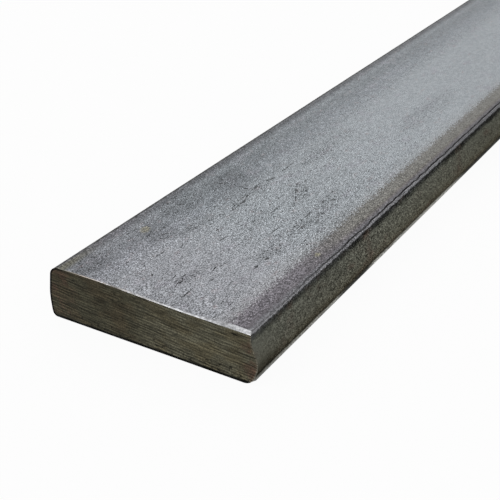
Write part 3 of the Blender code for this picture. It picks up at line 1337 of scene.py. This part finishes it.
# %% Dressed arris: mm from the middle with the colour there, its patterns and its shades
DRESSED_ZONES = [
    # Partly painted highlight: the clean steel's stops are lighter where the flared flat faces the
    # light
    (-24.0, "#F0F1F4"),
    (-20.0, "#E6E7EA"),
    (-15.0, "#BEBFC3"),
    (-11.0, "#C8C9CC"),
    (-7.0, "#E2E3E6"),
    (16.0, "#9A9087"),
    (20.5, "#66645A"),
]
DRESSED_PATTERNS = {
    "flecks": ((0.6, 0.9, 0.6), 2.0, 0.54, 0.64),
    "facets": ((0.6, 1.3, 0.6), 1.0, 0.38, 0.62),
    "scratches": ((0.2, 0.35, 2.0), 2.0, 0.35, 0.65),
}
DRESSED_SHADES = [
    ("scratches", 1.06, 0.78),
    ("facets", 0.72, 1.14),
    # Painted highlight: the flat is lighter at its rim and darker where it meets the skin
    ("up_the_flat", 1.20, 0.84),
]


# %% Dressed arris
def dressed_arris():
    """Ground steel: clean and bright at the right, tanned with bright flecks at the left."""
    material, tree = new_material("ground_stainless")
    place = add(tree, "TexCoord").outputs["Object"]
    across = add(tree, "SeparateXYZ", {"Vector": place}).outputs["Y"]
    masks = noise_masks(tree, place, DRESSED_PATTERNS)
    masks["up_the_flat"] = add(tree, "Attribute", attribute_name="up_the_flat").outputs["Fac"]
    masks["not_left"] = add(
        tree, "MapRange", {"Value": across, "From Min": 19 * MM, "From Max": 12 * MM},
    ).outputs["Result"]
    colour = colour_along(tree, across, DRESSED_ZONES)
    colour = all_tints(tree, colour, masks, [("flecks not_left", "#E2E3E6")])
    colour = all_shades(tree, colour, masks, DRESSED_SHADES)
    finish_metal(tree, {"Base Color": colour, "Roughness": 0.35})
    return material


put_on_bar(dressed_arris())

# %% [markdown]
# The new surface rides on the only body and stands for the solid bar, which stays for collision.

# %% Put the surface in place of the solid
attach(bar, "root")
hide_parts("flat_bar")

# %% [markdown]
# The stage is a wide pale floor. To the camera, and in reflections, most of its light is its own
# even white, so it reads as a white ground and still keeps a soft shadow under the bar.

# %% Floor
FLOOR_SIDE = 80.0
OWN_WHITE = 0.95


def pale_floor():
    """Matte white floor that the camera sees mostly as even white."""
    material, tree = new_material("pale_floor")
    matte = add(tree, "BsdfDiffuse", {"Color": linear("#F2F2F2")})
    white = add(tree, "Emission", {"Color": (1, 1, 1, 1), "Strength": 1.0})
    seen = add(tree, "LightPath").outputs
    kinds = ("Is Camera Ray", "Is Glossy Ray", "Is Transmission Ray")
    direct = either(tree, *(seen[kind] for kind in kinds))
    share = times_plus(tree, direct, OWN_WHITE, 0.0)
    parts = {0: share, 1: matte.outputs[0], 2: white.outputs[0]}
    mixed = add(tree, "MixShader", parts)
    add(tree, "OutputMaterial", {"Surface": mixed.outputs[0]})
    return material


FLOOR_CORNERS = np.array([(-1, -1, 0), (1, -1, 0), (1, 1, 0), (-1, 1, 0)]) * FLOOR_SIDE / 2
floor_mesh = bpy.data.meshes.new("floor")
floor_mesh.from_pydata(FLOOR_CORNERS.tolist(), [], [(0, 1, 2, 3)])
floor_mesh.materials.append(pale_floor())
floor = put_in_scene("floor", floor_mesh)

# %% [markdown]
# Light. The world lights the bar as an even pale grey and is white to the camera, as the floor is.
# One big soft lamp hangs over the far end, so the top face is the lightest and the faces towards
# the camera stay dark. A small one over the near end wakes the dressed arris.

# %% World and lamps
WORLD_LIGHT = 0.55
world = bpy.data.worlds.new("studio")
bpy.context.scene.world = world
world.use_nodes = True
world.node_tree.nodes.clear()
sky = world.node_tree
seen = add(sky, "LightPath").outputs["Is Camera Ray"]
strength = times_plus(sky, seen, 1 - WORLD_LIGHT, WORLD_LIGHT)
even = add(sky, "Background", {"Color": (1, 1, 1, 1), "Strength": strength})
add(sky, "OutputWorld", {"Surface": even.outputs[0]})


def soft_lamp(name, place, aim, side, power):
    """A square lamp at a place, turned to face a point, both in metres."""
    lamp = bpy.data.lights.new(name, "AREA")
    lamp.size = side
    lamp.energy = power
    lamp_object = put_in_scene(name, lamp)
    lamp_object.location = place
    way = np.subtract(place, aim)
    across = math.atan2(way[1], way[0])
    tilt = math.atan2(math.hypot(way[0], way[1]), way[2])
    lamp_object.rotation_euler = (0, tilt, across)
    print(name, "hangs", round(math.hypot(*way), 2), "m away")


soft_lamp("behind the far end", (1.25, 0.85, 1.0), (0, 0, 0), 1.5, 9.2)
soft_lamp("over the near end", (-0.85, 0.45, 0.85), (-0.25, 0, 0), 0.7, 1.6)

# %% [markdown]
# The camera. The long edges of the bar in the photograph run to one vanishing point and the short
# ones to another. Those two give the lens and the direction, and the near end's size the place.

# %% Camera
SENSOR = 36.0
FOCAL_PIXELS = 1044.3
FRAME_PIXELS = 500
camera_data = bpy.data.cameras.new("camera")
camera_data.sensor_width = SENSOR
camera_data.lens = FOCAL_PIXELS / FRAME_PIXELS * SENSOR
camera_data.clip_start = 0.01
camera = put_in_scene("camera", camera_data)
camera.location = (-0.38734, -0.10592, 0.11556)
camera.rotation_euler = (math.radians(61.58), math.radians(0.20), math.radians(-59.10))
bpy.context.scene.camera = camera

# %% View settings
bpy.context.scene.view_settings.view_transform = "Standard"
